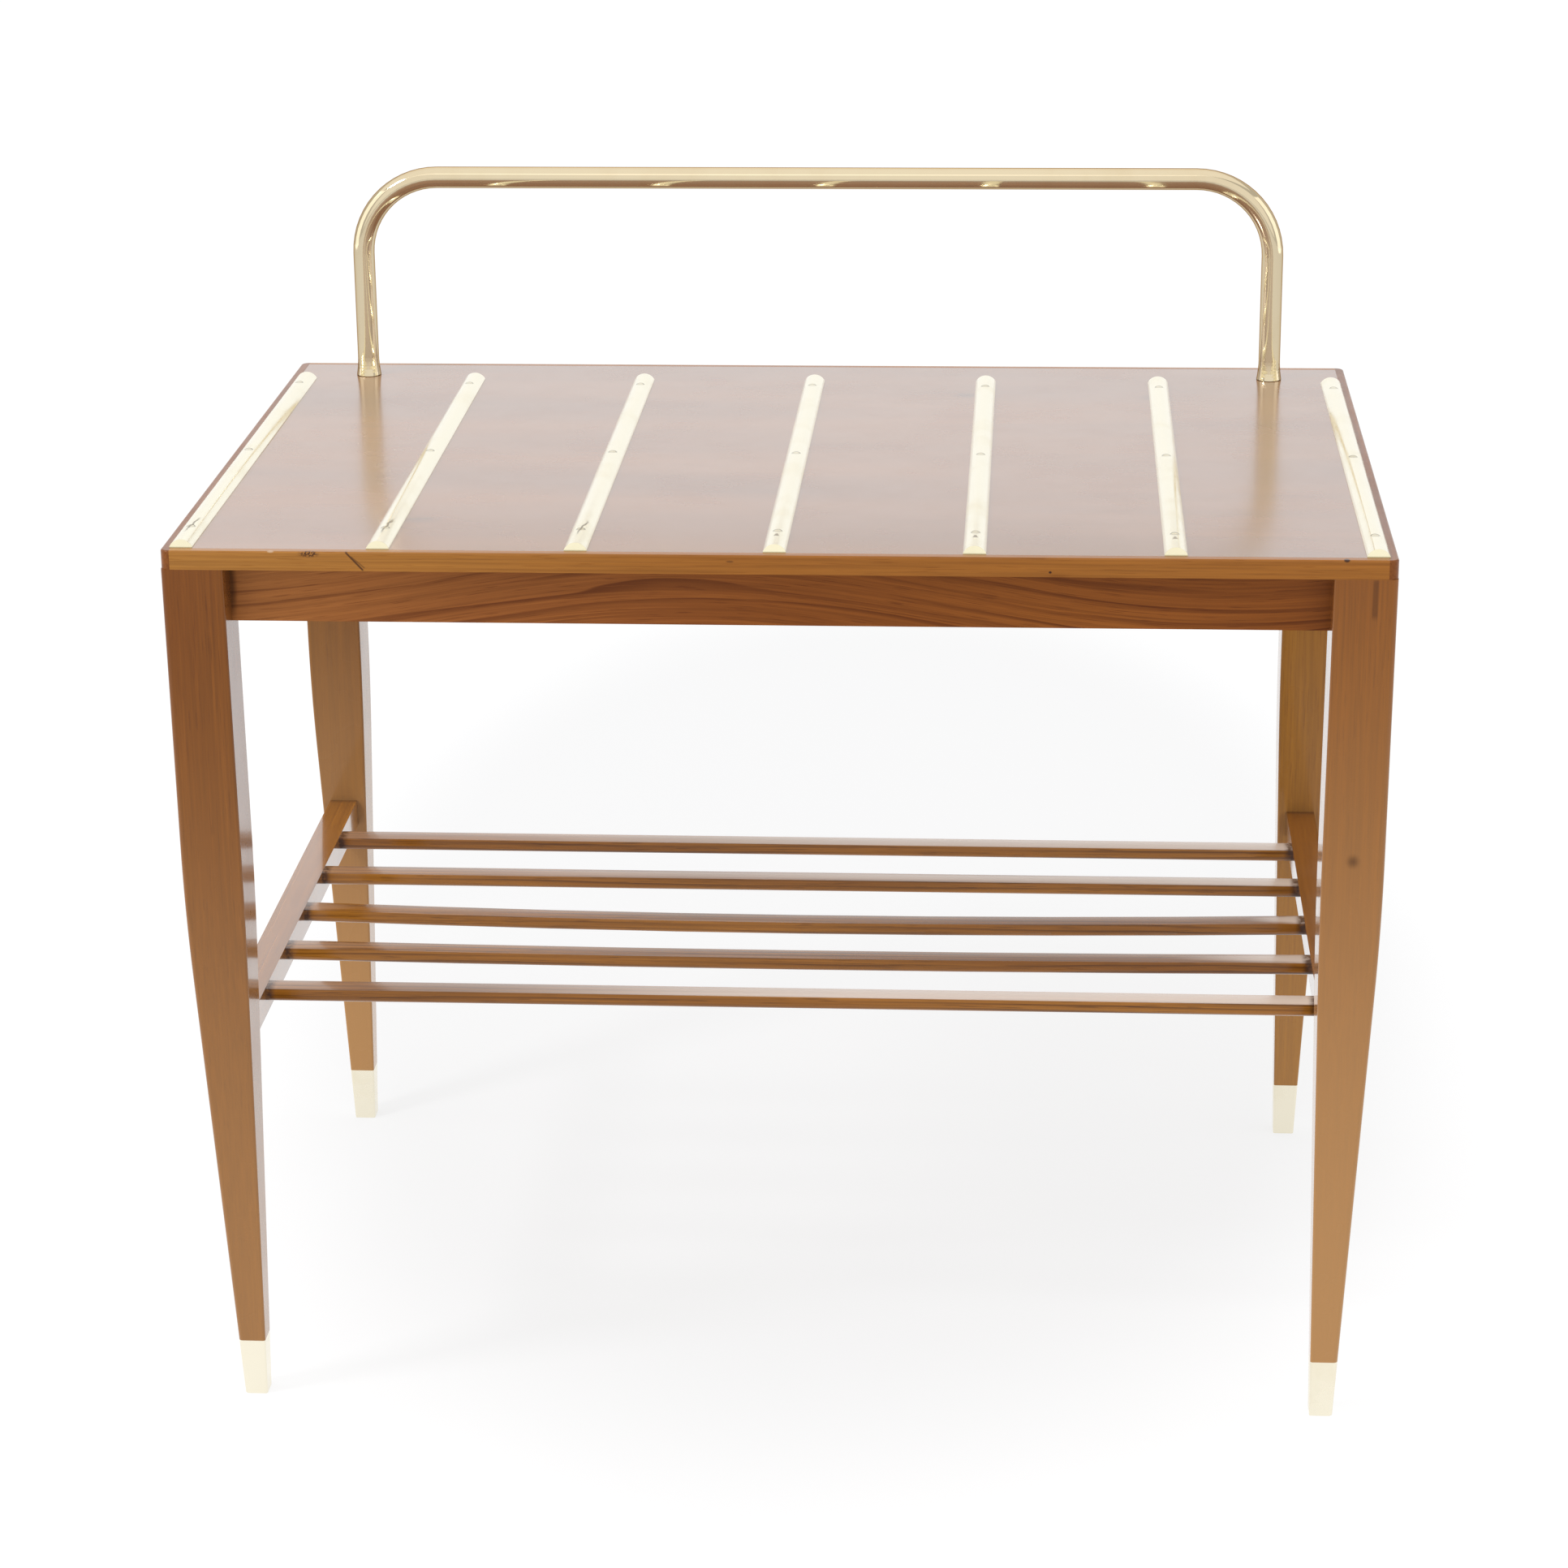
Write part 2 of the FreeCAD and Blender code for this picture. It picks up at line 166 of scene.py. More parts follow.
def bump(tree, shader, height, strength, distance):
    n = node(tree, "ShaderNodeBump")
    n.inputs["Strength"].default_value = strength
    n.inputs["Distance"].default_value = distance
    tree.links.new(height, n.inputs["Height"])
    tree.links.new(n.outputs["Normal"], shader.inputs["Normal"])


def spot(tree, centre, size, edge=0.5):
    # soft-edged blot: 1 inside, 0 outside
    x, y, z = split(tree, objectPlace(tree))
    gaps = []
    for value, middle, reach in zip((x, y, z), centre, size):
        gaps.append(times(tree, maths(tree, "SUBTRACT", value, middle), 1 / reach))
    n = node(tree, "ShaderNodeVectorMath", operation="LENGTH")
    tree.links.new(join(tree, *gaps), n.inputs[0])
    return spread(tree, n.outputs["Value"], edge, 1.0, 1.0, 0.0)


def slash(tree, start, end, thick, depth):
    # thin line on a front face, from start to end in x and z
    x, y, z = split(tree, objectPlace(tree))
    length = math.hypot(end[0] - start[0], end[1] - start[1])
    alongX, alongZ = (end[0] - start[0]) / length, (end[1] - start[1]) / length
    dx = maths(tree, "SUBTRACT", x, start[0])
    dz = maths(tree, "SUBTRACT", z, start[1])
    along = plus(tree, times(tree, dx, alongX), times(tree, dz, alongZ))
    across = maths(tree, "SUBTRACT", times(tree, dx, alongZ), times(tree, dz, alongX))
    off = maths(tree, "ABSOLUTE", across)
    inside = spread(tree, off, thick * 0.4, thick, 1.0, 0.0)
    begun = spread(tree, along, -thick, thick)
    ended = spread(tree, along, length - thick, length + thick, 1.0, 0.0)
    front = spread(tree, y, depth, depth + skin, 1.0, 0.0)
    return times(tree, times(tree, inside, front), times(tree, begun, ended))


# one look per kind of walnut piece; lines is growth lines per metre, and arch the
# height, radians per metre and middle of a wave that bends the grain
walnutLooks = {
    "topVeneer": {"along": "X", "pale": (0.225, 0.078, 0.014), "mid": (0.160, 0.052, 0.008),
                  "dark": (0.070, 0.020, 0.004), "lines": 22, "wander": 5.0, "figure": 0.10,
                  "rough": 0.24, "ior": 1.7, "coatRough": 0.16, "coatIor": 1.74, "grainDepth": 0.01,
                  "contrast": 0.25},
    "lipping": {"along": "X", "pale": (0.305, 0.112, 0.016), "mid": (0.240, 0.079, 0.011),
                "dark": (0.150, 0.040, 0.002), "lines": 260, "wander": 1.6, "figure": 0.25,
                "rough": 0.32, "ior": 1.28, "coatRough": 0.15, "coatIor": 1.12},
    "apron": {"along": "X", "pale": (0.282, 0.090, 0.015), "mid": (0.204, 0.056, 0.009),
              "dark": (0.078, 0.015, 0.002), "lines": 120, "wander": 3.6, "figure": 0.80,
              "rough": 0.34, "ior": 1.22, "coatRough": 0.16, "coatIor": 1.08,
              "arch": (0.0177, 9.6, 0.057)},
    "leg": {"along": "Z", "pale": (0.225, 0.076, 0.008), "mid": (0.180, 0.054, 0.004),
            "dark": (0.095, 0.023, 0.002), "lines": 120, "wander": 3.4, "figure": 0.22,
            "rough": 0.26, "ior": 1.22, "coatRough": 0.10, "coatIor": 1.28},
    "stretcher": {"along": "Y", "pale": (0.37, 0.150, 0.020), "mid": (0.28, 0.100, 0.010),
                  "dark": (0.13, 0.036, 0.004), "lines": 170, "wander": 2.0, "figure": 0.40,
                  "rough": 0.22, "ior": 1.5, "coatRough": 0.08, "coatIor": 1.75},
    "slat": {"along": "X", "pale": (0.35, 0.140, 0.018), "mid": (0.21, 0.072, 0.007),
             "dark": (0.050, 0.012, 0.001), "lines": 230, "wander": 2.4, "figure": 0.75,
             "rough": 0.18, "ior": 1.24, "coatRough": 0.08, "coatIor": 1.30},
}
# which way the grain runs, and how the growth lines count up across it
alongScale = {"X": (1, 0, 0), "Y": (0, 1, 0), "Z": (0, 0, 1)}
acrossWeights = {"X": (0.0, 0.7, 1.0), "Y": (1.0, 0.0, 0.7), "Z": (1.0, 0.8, 0.0)}


def stretched(along, amount):
    return tuple(amount if flag else 1.0 for flag in alongScale[along])


# each field of noise: stretch along the grain, then scale
grain = {"wander": (0.10, 30.0), "strength": (0.05, 70.0), "broad": (0.12, 16.0),
         "fibre": (0.012, 620.0), "pore": (0.03, 1300.0)}
firstLine = 40    # keeps the count of growth lines above zero
# painted light: the pale colour laid on the lower legs in place of the floor's glow
paintedGlowColour = (0.45, 0.24, 0.09)


def walnut(name, look, shift=(0, 0, 0), tone=(1, 1, 1), marks=None, paintedPaling=None):
    mat, tree, shader = newMaterial(name)
    place = objectPlace(tree)
    x, y, z = split(tree, place)
    if "arch" in look:
        rise, radians, peak = look["arch"]
        swing = maths(tree, "COSINE", times(tree, plus(tree, x, peak), radians))
        z = maths(tree, "SUBTRACT", z, times(tree, swing, rise))
        place = join(tree, x, y, z)
    moved = node(tree, "ShaderNodeVectorMath", operation="ADD")
    tree.links.new(place, moved.inputs[0])
    moved.inputs[1].default_value = shift

    def grainNoise(field, *shape):
        amount, scale = grain[field]
        n = node(tree, "ShaderNodeVectorMath", operation="MULTIPLY")
        tree.links.new(moved.outputs["Vector"], n.inputs[0])
        n.inputs[1].default_value = stretched(look["along"], amount)
        return noise(tree, n.outputs["Vector"], scale, *shape)

    # growth lines: position across the board, made to wander by a slow field
    weights = acrossWeights[look["along"]]
    inBoard = plus(tree, times(tree, y, weights[1]), times(tree, z, weights[2]))
    flat = plus(tree, times(tree, x, weights[0]), inBoard)
    wander = times(tree, grainNoise("wander", 2.0, 0.5, 0.4), look["wander"])
    count = plus(tree, times(tree, flat, look["lines"]), plus(tree, wander, sum(shift) + firstLine))
    ring = maths(tree, "FRACT", count)
    late = times(tree, spread(tree, ring, 0.45, 0.93), spread(tree, ring, 0.93, 1.0, 1.0, 0.0))
    strength = spread(tree, grainNoise("strength", 1.0, 0.5), 0.35, 0.65, 0.15, 1.0)
    line = times(tree, times(tree, late, strength), look["figure"])

    broad = grainNoise("broad", 2.0, 0.5, 0.3)
    tones = ramp(tree, broad, [(0.32, look["mid"]), (0.68, look["pale"])])
    figured = mixColour(tree, line, tones, look["dark"])
    fibre = grainNoise("fibre", 3.0, 0.65)
    contrast = look.get("contrast", 1.0)
    darker = tuple(c * 0.60 for c in look["mid"])
    colour = mixColour(tree, spread(tree, fibre, 0.42, 0.68, 0.0, 0.42 * contrast), figured, darker)
    paler = tuple(c * 1.25 for c in look["pale"])
    colour = mixColour(tree, spread(tree, fibre, 0.30, 0.46, 0.30 * contrast, 0.0), colour, paler)

    # open pores: short dark dashes along the grain
    pore = spread(tree, grainNoise("pore", 1.0, 0.5), 0.60, 0.70)
    colour = mixColour(tree, times(tree, pore, 0.45 * contrast), colour, look["dark"])
    colour = mixColour(tree, 1.0, colour, tone, "MULTIPLY")
    # painted light: paler towards the floor, where the floor's glow falls, fading out under the top
    if paintedPaling:
        low, high, amount = paintedPaling
        paintedGlow = spread(tree, z, low, high, amount, 0.0)
        colour = mixColour(tree, paintedGlow, colour, paintedGlowColour)
    for mark, markColour, *blend in (marks(tree) if marks else []):
        colour = mixColour(tree, mark, colour, markColour, *blend)
    tree.links.new(colour, shader.inputs["Base Color"])

    smear = noise(tree, objectPlace(tree), 18.0, 3.0, 0.6)
    rough = spread(tree, smear, 0.25, 0.75, look["rough"] * 0.85, look["rough"] * 1.25)
    tree.links.new(rough, shader.inputs["Roughness"])
    shader.inputs["IOR"].default_value = look["ior"]
    shader.inputs["Coat Weight"].default_value = 1.0
    shader.inputs["Coat IOR"].default_value = look["coatIor"]
    shader.inputs["Coat Roughness"].default_value = look["coatRough"]
    height = maths(tree, "SUBTRACT", times(tree, fibre, 0.3), times(tree, pore, 0.6))
    bump(tree, shader, height, look.get("grainDepth", 0.05), 0.0001)
    return mat


def boxMiddle(name, axis):
    low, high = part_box(name)
    return (low[axis] + high[axis]) / 2


stripPitch = boxMiddle("brass_strip_5", 0) - boxMiddle("brass_strip_4", 0)
stripMiddleY = boxMiddle("brass_strip_4", 1)
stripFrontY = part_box("brass_strip_4")[0][1]
screwGap = 0.19    # between neighbouring screws of one strip
# dark ring round each screw head: its seam, plus painted shade in the gap, heavier on the rear side
screwSeamShade = {"inner": (0.0021, 0.0026), "outer": (0.0027, 0.0033), "lit": (-0.0006, 0.0012),
             "colour": (0.10, 0.085, 0.055)}
# front end face of each strip, and the painted contact shadow at its foot
frontEnd = {"endFace": (0.0009, 0.0013), "contactShadow": (0.0003, 0.0007),
            "endFaceColour": (0.74, 0.67, 0.42), "contactShadowColour": (0.30, 0.24, 0.10)}
scratches = {"slant": 0.10, "thick": (0.0003, 0.0009), "reach": (0.008, 0.019), "middle": 0.004,
             "leftStrips": (-0.6, -0.4), "colour": (0.16, 0.12, 0.06)}
wedges = {"before": 0.0095, "half": (0.0022, 0.0028), "flare": 0.22, "thick": (0.0008, 0.0016),
          "lastStrip": (2.4, 2.6)}


def fromNearest(tree, value, pitch):
    whole = maths(tree, "ROUND", times(tree, value, 1 / pitch))
    return maths(tree, "SUBTRACT", value, times(tree, whole, pitch)), whole


def screwPlace(tree):
    # distance and direction from the nearest screw on a strip
    x, y, z = split(tree, objectPlace(tree))
    dx, strip = fromNearest(tree, x, stripPitch)
    fromMiddle = maths(tree, "SUBTRACT", y, stripMiddleY)
    dy = fromNearest(tree, fromMiddle, screwGap)[0]
    away = maths(tree, "SQRT", plus(tree, times(tree, dx, dx), times(tree, dy, dy)))
    return away, dx, dy, fromMiddle, strip


def cutEnd(tree):
    # the front end face of a strip is coloured a darker gold, and a painted contact shadow runs along
    # its foot
    x, y, z = split(tree, objectPlace(tree))
    near, far = frontEnd["endFace"]
    low, high = frontEnd["contactShadow"]
    endFace = spread(tree, y, stripFrontY + near, stripFrontY + far, 0.6, 0.0)
    contactShadow = times(tree, endFace, spread(tree, z, topZ + low, topZ + high, 1.0, 0.0))
    return endFace, contactShadow


def scuff(tree, dx, fromMiddle, strip):
    # left strips carry a slanting scratch over the front screw, the others a short wedge before it
    ahead = plus(tree, fromMiddle, screwGap)
    wobble = times(tree, maths(tree, "SUBTRACT", noise(tree, objectPlace(tree), 110.0, 2.0), 0.5), 0.004)
    slanted = maths(tree, "SUBTRACT", dx, times(tree, ahead, scratches["slant"]))
    offLine = maths(tree, "ABSOLUTE", plus(tree, slanted, wobble))
    fromScratch = maths(tree, "ABSOLUTE", plus(tree, ahead, -scratches["middle"]))
    reach = spread(tree, fromScratch, *scratches["reach"], 1.0, 0.0)
    scratch = times(tree, spread(tree, offLine, *scratches["thick"], 1.0, 0.0), reach)
    scratch = times(tree, scratch, spread(tree, strip, *scratches["leftStrips"], 0.8, 0.0))

    depth = plus(tree, ahead, wedges["before"])
    flare = maths(tree, "MULTIPLY", depth, -wedges["flare"])
    width = maths(tree, "SUBTRACT", maths(tree, "ABSOLUTE", dx), flare)
    short, long = wedges["half"]
    begun = spread(tree, depth, -long, -short)
    ended = spread(tree, depth, short, long, 1.0, 0.0)
    wedge = times(tree, spread(tree, width, *wedges["thick"], 1.0, 0.0), times(tree, begun, ended))
    fromMiddleStrip = spread(tree, strip, *scratches["leftStrips"], 0.0, 0.7)
    toSixthStrip = spread(tree, strip, *wedges["lastStrip"], 1.0, 0.0)
    wedge = times(tree, wedge, times(tree, fromMiddleStrip, toSixthStrip))
    return maths(tree, "MAXIMUM", scratch, wedge)


# rim is the tint of the metal where it is seen edge-on; the rail's red-brown rim is a painted reflection
# of the walnut top in the rail's underside
brassLooks = {
    "strip": {"colour": (0.95, 0.905, 0.74), "dull": (0.84, 0.76, 0.54), "rough": 0.17, "marks": 0.45},
    "screw": {"colour": (0.80, 0.74, 0.56), "dull": (0.45, 0.38, 0.24), "rough": 0.22, "marks": 0.8},
    "rail": {"colour": (0.64, 0.545, 0.375), "dull": (0.55, 0.43, 0.26), "rough": 0.06, "marks": 0.35,
             "rim": (0.46, 0.29, 0.17)},
    "sabot": {"colour": (0.90, 0.845, 0.69), "dull": (0.80, 0.72, 0.53), "rough": 0.24, "marks": 0.5},
}


def brass(name, look, screwed=False):
    mat, tree, shader = newMaterial(name)
    place = objectPlace(tree)
    cloud = noise(tree, place, 22.0, 4.0, 0.6)
    fine = noise(tree, objectPlace(tree, (1, 0.05, 1)), 1500.0, 2.0, 0.5)
    tarnish = times(tree, spread(tree, cloud, 0.45, 0.80), look["marks"])
    colour = mixColour(tree, tarnish, look["colour"], look["dull"])
    if screwed:
        away, dx, dy, fromMiddle, strip = screwPlace(tree)
        inner = spread(tree, away, *screwSeamShade["inner"])
        ringed = times(tree, inner, spread(tree, away, *screwSeamShade["outer"], 1.0, 0.0))
        # painted shade: the ring darkens more on its rear side, where the gap lies in shade
        ringed = times(tree, ringed, spread(tree, dy, *screwSeamShade["lit"], 0.28, 0.90))
        colour = mixColour(tree, ringed, colour, screwSeamShade["colour"])
        # the end face's darker gold, and the painted contact shadow at its foot
        endFace, contactShadow = cutEnd(tree)
        colour = mixColour(tree, endFace, colour, frontEnd["endFaceColour"])
        colour = mixColour(tree, contactShadow, colour, frontEnd["contactShadowColour"])
        colour = mixColour(tree, scuff(tree, dx, fromMiddle, strip), colour, scratches["colour"])
    tree.links.new(colour, shader.inputs["Base Color"])
    shader.inputs["Metallic"].default_value = 1.0
    shader.inputs["Specular Tint"].default_value = (*look.get("rim", (1, 1, 1)), 1)
    spots = times(tree, spread(tree, fine, 0.5, 0.75), 0.03)
    haze = spread(tree, cloud, 0.3, 0.8, look["rough"] * 0.75, look["rough"] * 1.5)
    tree.links.new(plus(tree, haze, spots), shader.inputs["Roughness"])
    bump(tree, shader, fine, 0.012, 0.0001)
    return mat


def steel(name):
    mat, tree, shader = newMaterial(name)
    shader.inputs["Metallic"].default_value = 1.0
    cloud = noise(tree, objectPlace(tree), 90.0, 3.0, 0.6)
    colour = ramp(tree, cloud, [(0.3, (0.42, 0.42, 0.43)), (0.7, (0.62, 0.62, 0.60))])
    tree.links.new(colour, shader.inputs["Base Color"])
    tree.links.new(spread(tree, cloud, 0.3, 0.7, 0.25, 0.5), shader.inputs["Roughness"])
    return mat


def paleWood(name, colours, along="X"):
    mat, tree, shader = newMaterial(name)
    fibre = noise(tree, objectPlace(tree, stretched(along, 0.06)), 160.0, 4.0, 0.6)
    colour = ramp(tree, fibre, [(0.3, colours[0]), (0.7, colours[1])])
    tree.links.new(colour, shader.inputs["Base Color"])
    tree.links.new(spread(tree, fibre, 0.3, 0.7, 0.45, 0.65), shader.inputs["Roughness"])
    bump(tree, shader, fibre, 0.2, 0.0002)
    return mat


def dress(nodeName, mat):
    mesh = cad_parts[nodeName].data
    mesh.materials.clear()
    mesh.materials.append(mat)
    for polygon in mesh.polygons:
        polygon.material_index = 0


# a dark colour for cracks, holes, knots and stains, and for the grime and painted shade in joints
darkMarkAndShade = (0.045, 0.014, 0.005)
skin = 0.004    # how deep a mark on a front face reaches

lippingWear = {
    "fade": {"from": -0.38, "to": 0.0, "colour": (1.22, 1.45, 1.85)},
    "crack": {"start": (-0.2605, topZ), "end": (-0.2500, topZ - 0.0115), "thick": 0.0008},
    "splinter": {"start": (-0.2570, topZ - 0.003), "end": (-0.2490, topZ - 0.010), "thick": 0.0006},
    "chips": {"centre": (-0.283, frontY, topZ - 0.0012), "size": (0.008, 0.004, 0.0030)},
    "paleNick": {"centre": (-0.3065, frontY, topZ), "size": (0.0026, 0.003, 0.0010)},
    "hole": {"centre": (0.1666, frontY, topZ - 0.009), "size": (0.0012, 0.003, 0.0010)},
    "endNick": {"centre": (0.3436, frontY, topZ), "size": (0.0024, 0.005, 0.0016)},
    "smudge": {"centre": (-0.0265, frontY, topZ - 0.004), "size": (0.003, 0.003, 0.0008)},
}


def paledLeft(tree, fade):
    # the left of a front board is paler, fading out towards the right
    x, y, z = split(tree, objectPlace(tree))
    return spread(tree, x, fade["from"], fade["to"], 1.0, 0.0), fade["colour"], "MULTIPLY"


def blot(tree, spec, amount=1.0, edge=0.5, colour=darkMarkAndShade):
    return times(tree, spot(tree, spec["centre"], spec["size"], edge), amount), colour


def darkLine(tree, spec, amount):
    return times(tree, slash(tree, spec["start"], spec["end"], spec["thick"], frontY), amount), darkMarkAndShade


def lippingMarks(tree):
    wear = lippingWear
    rubble = spread(tree, noise(tree, objectPlace(tree), 900.0, 2.0, 0.6), 0.40, 0.55)
    jagged = times(tree, spot(tree, wear["chips"]["centre"], wear["chips"]["size"], 0.3), rubble)
    return [paledLeft(tree, wear["fade"]),
            darkLine(tree, wear["crack"], 0.85),
            darkLine(tree, wear["splinter"], 0.5),
            (jagged, darkMarkAndShade),
            blot(tree, wear["paleNick"], 0.7, colour=(0.46, 0.33, 0.22)),
            blot(tree, wear["hole"]),
            blot(tree, wear["endNick"]),
            blot(tree, wear["smudge"], 0.5)]


veneerWear = {
    "rightSmudge": {"centre": (0.108, 0.161, topZ), "size": (0.012, 0.010, 0.01)},
    "farSmudge": {"centre": (0.236, 0.157, topZ), "size": (0.015, 0.010, 0.01)},
    "leftSmudge": {"centre": (-0.227, -0.174, topZ), "size": (0.022, 0.012, 0.01)},
}


def veneerMarks(tree):
    return [blot(tree, veneerWear["rightSmudge"], 0.6, 0.0),
            blot(tree, veneerWear["farSmudge"], 0.5, 0.0),
            blot(tree, veneerWear["leftSmudge"], 0.5, 0.0)]


frontRightWear = {
    "crack": {"start": (0.3615, topZ - 0.012), "end": (0.3612, topZ - 0.036), "thick": 0.0024},
    "knot": {"centre": (0.3541, frontY, 0.3898), "size": (0.0056, 0.01, 0.0062)},
}


def frontRightMarks(tree):
    return [darkLine(tree, frontRightWear["crack"], 0.45),
            blot(tree, frontRightWear["knot"], 0.62, 0.0)]


apronWear = {
    "fade": {"from": -0.36, "to": 0.10, "colour": (1.50, 1.85, 2.9)},
    "joint": {"centre": (-0.337, frontY + 0.02, topZ - 0.028), "size": (0.006, 0.01, 0.030)},
}


def apronMarks(tree):
    return [paledLeft(tree, apronWear["fade"]),
            blot(tree, apronWear["joint"], 0.75, 0.3)]


# speckle that breaks up the joint grime and painted shade
jointSpeckle = {"scale": 260.0, "from": 0.30, "to": 0.55}


def speckle(tree, least):
    rough = noise(tree, objectPlace(tree), jointSpeckle["scale"], 2.0, 0.6)
    return spread(tree, rough, jointSpeckle["from"], jointSpeckle["to"], least, 1.0)


stretcherJoint = (0.2040, 0.2120)    # grime and painted shade at the leg joint start and are full, measured from the middle


def stretcherMarks(tree):
    x, y, z = split(tree, objectPlace(tree))
    # grime and painted shade where a stretcher meets a leg
    nearEnd = spread(tree, maths(tree, "ABSOLUTE", y), *stretcherJoint, 0.0, 0.75)
    return [(times(tree, nearEnd, speckle(tree, 0.4)), darkMarkAndShade)]


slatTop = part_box("shelf_slat_1")[1][2]
# slat looks: the joint band takes grime and painted shade where a slat meets a stretcher, and the top
# band takes a painted sheen, the reflection of the bright backdrop, growing stronger to the right
slatGrimeShadeAndSheen = {"joint": (0.3360, 0.3410), "paintedSheen": (slatTop - 0.0010, slatTop - 0.0002),
            "paleFrom": -0.28, "paleTo": 0.08, "colour": (0.80, 0.70, 0.62)}


def slatMarksAndSheen(tree):
    x, y, z = split(tree, objectPlace(tree))
    # grime and painted shade where a slat meets a stretcher
    nearEnd = spread(tree, maths(tree, "ABSOLUTE", x), *slatGrimeShadeAndSheen["joint"])
    onTop = spread(tree, z, *slatGrimeShadeAndSheen["paintedSheen"])
    # painted sheen on the slat tops, stronger towards the right
    paintedSheen = times(tree, onTop, spread(tree, x, slatGrimeShadeAndSheen["paleFrom"], slatGrimeShadeAndSheen["paleTo"], 0.15, 0.80))
    return [(paintedSheen, slatGrimeShadeAndSheen["colour"]),
            (times(tree, times(tree, nearEnd, speckle(tree, 0.5)), 0.9), darkMarkAndShade)]


topWalnut = walnut("topVeneerWalnut", walnutLooks["topVeneer"], (0.2, 0.1, 0.4), marks=veneerMarks)
dress("top_veneer", topWalnut)
lippingX = walnut("lippingWalnut", walnutLooks["lipping"], (1.1, 0.7, 0.2), marks=lippingMarks)
sideLook = dict(walnutLooks["lipping"], along="Y")
lippingY = walnut("sideLippingWalnut", sideLook, (0.3, 0.2, 0.5), (0.72, 0.62, 0.6))
for side in ("front", "rear"):
    dress(side + "_lipping", lippingX)
for side in ("left", "right"):
    dress(side + "_lipping", lippingY)
dress("top_board", paleWood("boardCore", ((0.33, 0.20, 0.11), (0.42, 0.27, 0.15))))
frontApron = walnut("frontApronWalnut", walnutLooks["apron"], (0.45, 0.3, 0.9), marks=apronMarks)
dress("front_apron", frontApron)
dress("rear_apron", walnut("rearApronWalnut", walnutLooks["apron"], (0.95, 0.1, 0.4)))
sideApronLook = dict(walnutLooks["apron"], along="Y")
del sideApronLook["arch"]
sideApron = walnut("sideApronWalnut", sideApronLook, (0.2, 0.8, 0.1))
for side in ("left", "right"):
    dress(side + "_apron", sideApron)

# painted light: each leg is painted paler towards the floor, in place of the floor's glow on it, fading
# out up under the top where shade falls; height where the paling is full, height where it ends, amount
legs = {
    "front_left": {"tone": (0.90, 0.84, 0.70), "shift": (0.0, 0.0, 0.0), "marks": None,
                   "paintedPaling": (0.02, 0.64, 0.52)},
    "front_right": {"tone": (1.00, 0.84, 0.25), "shift": (0.7, 0.3, 0.1), "marks": frontRightMarks,
                    "paintedPaling": (0.04, 0.76, 0.84)},
    "rear_left": {"tone": (0.82, 0.85, 0.45), "shift": (1.4, 0.6, 0.2), "marks": None,
                  "paintedPaling": (0.05, 0.55, 0.85)},
    "rear_right": {"tone": (1.40, 1.68, 1.00), "shift": (2.1, 0.9, 0.3), "marks": None,
                   "paintedPaling": (0.02, 0.62, 0.45)},
}
for corner, leg in legs.items():
    dress(corner + "_leg", walnut(corner + "LegWalnut", walnutLooks["leg"], leg["shift"], leg["tone"],
                                  leg["marks"], leg["paintedPaling"]))
stretchers = {"left": {"shift": (0, 0.2, 0), "tone": (1, 1, 1)},
              "right": {"shift": (1, 0.2, 0), "tone": (0.90, 0.80, 0.55)}}
for side, piece in stretchers.items():
    dress(side + "_stretcher", walnut(side + "StretcherWalnut", walnutLooks["stretcher"], piece["shift"],
                                      piece["tone"], marks=stretcherMarks))
for number in range(1, 6):
    dress("shelf_slat_%d" % number, walnut("slatWalnut%d" % number, walnutLooks["slat"],
                                           (number * 0.31, number * 0.4, 0), marks=slatMarksAndSheen))
beech = paleWood("beech", ((0.50, 0.34, 0.19), (0.62, 0.45, 0.27)))
for nodeName in ("apron_dowels", "stretcher_dowels"):
    dress(nodeName, beech)
for corner in legs:
    dress(corner + "_corner_block", beech)
print("wood dressed")


stripBrass = brass("stripBrass", brassLooks["strip"], screwed=True)
for number in range(1, 8):
    dress("brass_strip_%d" % number, stripBrass)
dress("strip_screws", brass("stripScrewBrass", brassLooks["screw"], screwed=True))
screwBrass = brass("screwBrass", brassLooks["screw"])
for nodeName in ("sabot_pins", "rail_plugs"):
    dress(nodeName, screwBrass)
dress("rail_tube", brass("railBrass", brassLooks["rail"]))
sabotBrass = brass("sabotBrass", brassLooks["sabot"])
for corner in legs:
    dress(corner + "_sabot", sabotBrass)
zinc = steel("zincSteel")
for nodeName in ("top_screws", "rail_screws", "rail_washers"):
    dress(nodeName, zinc)
print("brass dressed")


# zones are ovals on the floor: half width, half depth, y of the middle
studio = {"floorSize": 14.0, "sweep": 1.6, "steps": 16, "backdropDistance": 3.0, "backdropHeight": 5.0,
          "near": 0.755, "far": 0.86, "shadowPoolZone": (0.46, 0.98, 0.65),
          "dull": 0.42, "frontShadeZone": (1.30, 1.20, -1.80)}


def farFrom(tree, wide, deep, middleY):
    # 0 in the middle of an oval on the floor, 1 on its edge
    x, y, z = split(tree, objectPlace(tree, (1 / wide, 1 / deep, 1.0), (0, -middleY / deep, 0)))
    n = node(tree, "ShaderNodeVectorMath", operation="LENGTH")
    tree.links.new(join(tree, x, y, 0.0), n.inputs[0])
    return n.outputs["Value"]


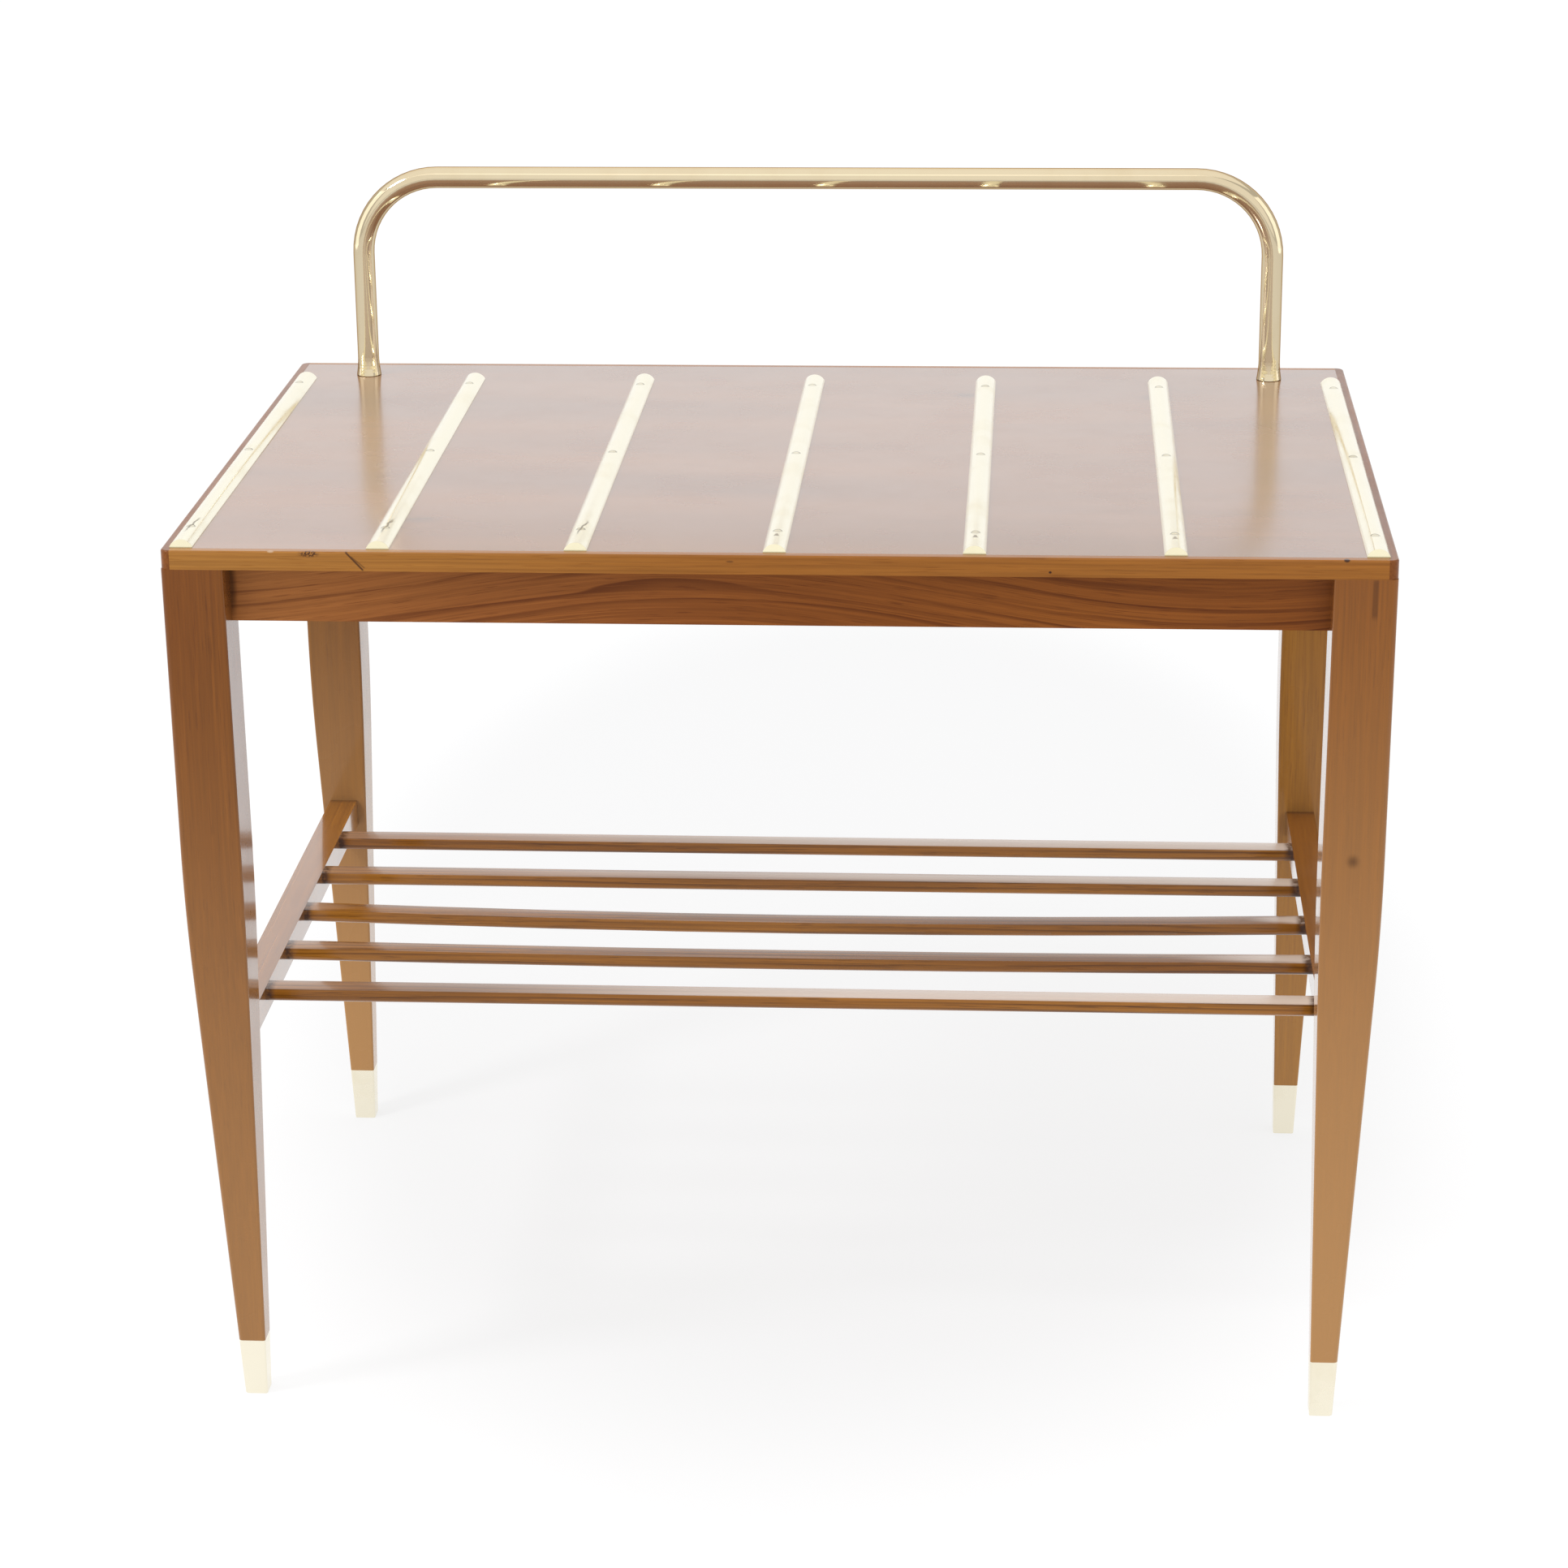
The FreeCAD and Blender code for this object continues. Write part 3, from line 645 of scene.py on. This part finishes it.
def paleStudio(name, s):
    mat, tree, shader = newMaterial(name)
    # the sweep glows: its emission lights the piece from below and around, and it glows less in an oval
    # round the piece, a painted shadow pool under it
    cloud = noise(tree, objectPlace(tree), 1.5, 2.0, 0.5)
    far = plus(tree, farFrom(tree, *s["shadowPoolZone"]), times(tree, cloud, 0.1))
    glow = spread(tree, far, 0.85, 1.30, s["near"], s["far"])
    # painted shade: the sweep glows less in front of the piece, so its front faces get less of its light
    # and reflection and keep their colour
    shaded = spread(tree, farFrom(tree, *s["frontShadeZone"]), 0.30, 1.05, s["dull"], 1.0)
    tree.links.new(times(tree, glow, shaded), shader.inputs["Emission Strength"])
    shader.inputs["Emission Color"].default_value = (1, 1, 1, 1)
    shader.inputs["Base Color"].default_value = (0.15, 0.15, 0.152, 1)
    shader.inputs["Roughness"].default_value = 0.7
    shader.inputs["Specular IOR Level"].default_value = 0.0
    return mat


def makeStudio(s):
    half = s["floorSize"] / 2
    reach = s["backdropDistance"]
    bend = s["sweep"]
    outline = [(-half, 0.0), (reach, 0.0)]
    for step in range(1, s["steps"] + 1):
        angle = math.pi / 2 * step / s["steps"]
        outline.append((reach + bend * math.sin(angle), bend * (1 - math.cos(angle))))
    outline.append((reach + bend, s["backdropHeight"]))
    verts = [(x, y, z) for y, z in outline for x in (-half, half)]
    faces = [(2 * i, 2 * i + 1, 2 * i + 3, 2 * i + 2) for i in range(len(outline) - 1)]
    mesh = bpy.data.meshes.new("studioSweep")
    mesh.from_pydata(verts, [], faces)
    for polygon in mesh.polygons:
        polygon.use_smooth = True
    obj = bpy.data.objects.new("studioSweep", mesh)
    bpy.context.scene.collection.objects.link(obj)
    mesh.materials.append(paleStudio("studioWhite", s))


makeStudio(studio)

lights = {
    "overhead": {"place": (-0.4, 0.4, 3.4), "aim": (0, 0, 0.3), "size": (6.0, 6.0), "power": 62},
    "window": {"place": (-1.8, -1.0, 2.3), "aim": (0, 0, 0.3), "size": (0.45, 0.45), "power": 26},
    "leftTall": {"place": (-2.7, -0.3, 1.3), "aim": (0, 0.1, 0.6), "size": (2.0, 2.0), "power": 12},
    "rightTall": {"place": (2.7, -0.1, 1.3), "aim": (0, 0.1, 0.6), "size": (2.0, 2.0), "power": 12},
    "frontSoft": {"place": (0.2, -4.2, 2.6), "aim": (0, 0, 0.5), "size": (10.0, 5.0), "power": 72},
}


def makeLight(name, spec):
    data = bpy.data.lights.new(name, "AREA")
    data.shape = "RECTANGLE"
    data.size, data.size_y = spec["size"]
    data.energy = spec["power"]
    obj = bpy.data.objects.new(name, data)
    bpy.context.scene.collection.objects.link(obj)
    place = Vector(spec["place"])
    obj.location = place
    obj.rotation_euler = (Vector(spec["aim"]) - place).to_track_quat("-Z", "Y").to_euler()
    obj.visible_camera = False


for name, spec in lights.items():
    makeLight(name, spec)


world = bpy.data.worlds.new("studioWorld")
bpy.context.scene.world = world
world.use_nodes = True
world.node_tree.nodes["Background"].inputs["Color"].default_value = (1, 1, 1, 1)
world.node_tree.nodes["Background"].inputs["Strength"].default_value = 0.75
bpy.context.scene.view_settings.view_transform = "Standard"
print("studio lit")
